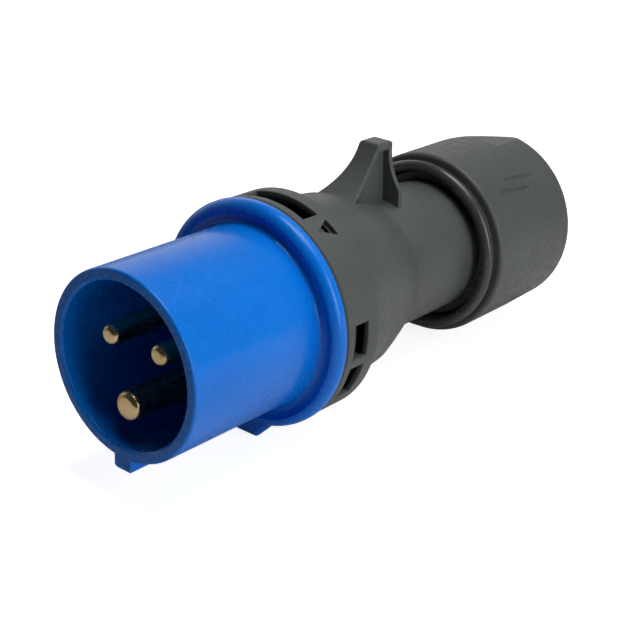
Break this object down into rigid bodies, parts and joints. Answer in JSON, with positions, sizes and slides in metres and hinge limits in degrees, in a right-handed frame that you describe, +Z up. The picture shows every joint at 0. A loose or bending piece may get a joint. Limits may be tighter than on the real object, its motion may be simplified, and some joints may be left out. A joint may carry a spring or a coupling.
{
  "type": "power plug",
  "caption": "Industrial power plug with a keyed blue sleeve around brass contact pins, a dark grey windowed housing with a catch fin, and a screw gland for the cable.",
  "frame": {"origin": "centre of the sleeve's open mouth, on the plug's axis", "axes": "+Y along the plug's axis towards the cable end, +Z up through the catch fin, +X to the live pin's side"},
  "size_m": [0.055, 0.1451, 0.0639],
  "materials": {
    "blue_plastic": "semi-gloss moulded thermoplastic",
    "grey_plastic": "fine matte moulded thermoplastic",
    "black_plastic": "plain moulded thermoplastic",
    "black_rubber": "smooth moulded elastomer",
    "brass": "turned and lightly polished",
    "steel": "zinc-plated"
  },
  "bodies": {
    "plug": {"plug_front": "blue_plastic", "flange_gasket": "black_rubber", "contact_carrier": "black_plastic", "pin_live": "brass", "pin_neutral": "brass", "pin_earth": "brass", "pin_clip_live": "steel", "pin_clip_neutral": "steel", "pin_clip_earth": "steel", "clamp_plate_live": "steel", "clamp_plate_neutral": "steel", "clamp_plate_earth": "steel", "terminal_screws": "steel", "carrier_screws": "steel", "rear_housing": "grey_plastic", "cable_seal": "black_rubber", "seal_core": "black_rubber", "clamp_cage": "black_plastic"},
    "gland_thrust": {"thrust_ring": "black_plastic"},
    "gland_nut": {"gland_nut": "grey_plastic", "nut_lip": "black_rubber"}
  },
  "joints": [
    {"name": "gland_travel", "type": "slide", "parent": "plug", "child": "gland_thrust", "axis": [0, 1, 0], "range_m": [0, 0.015]},
    {"name": "gland_turn", "type": "hinge", "parent": "gland_thrust", "child": "gland_nut", "pos_m": [0, 0.125, 0], "axis": [0, 1, 0], "range_deg": [0, 1800]}
  ],
  "couplings": [
    {"joint": "gland_travel", "follows": "gland_turn", "m_per_rad": 0.00047746}
  ]
}
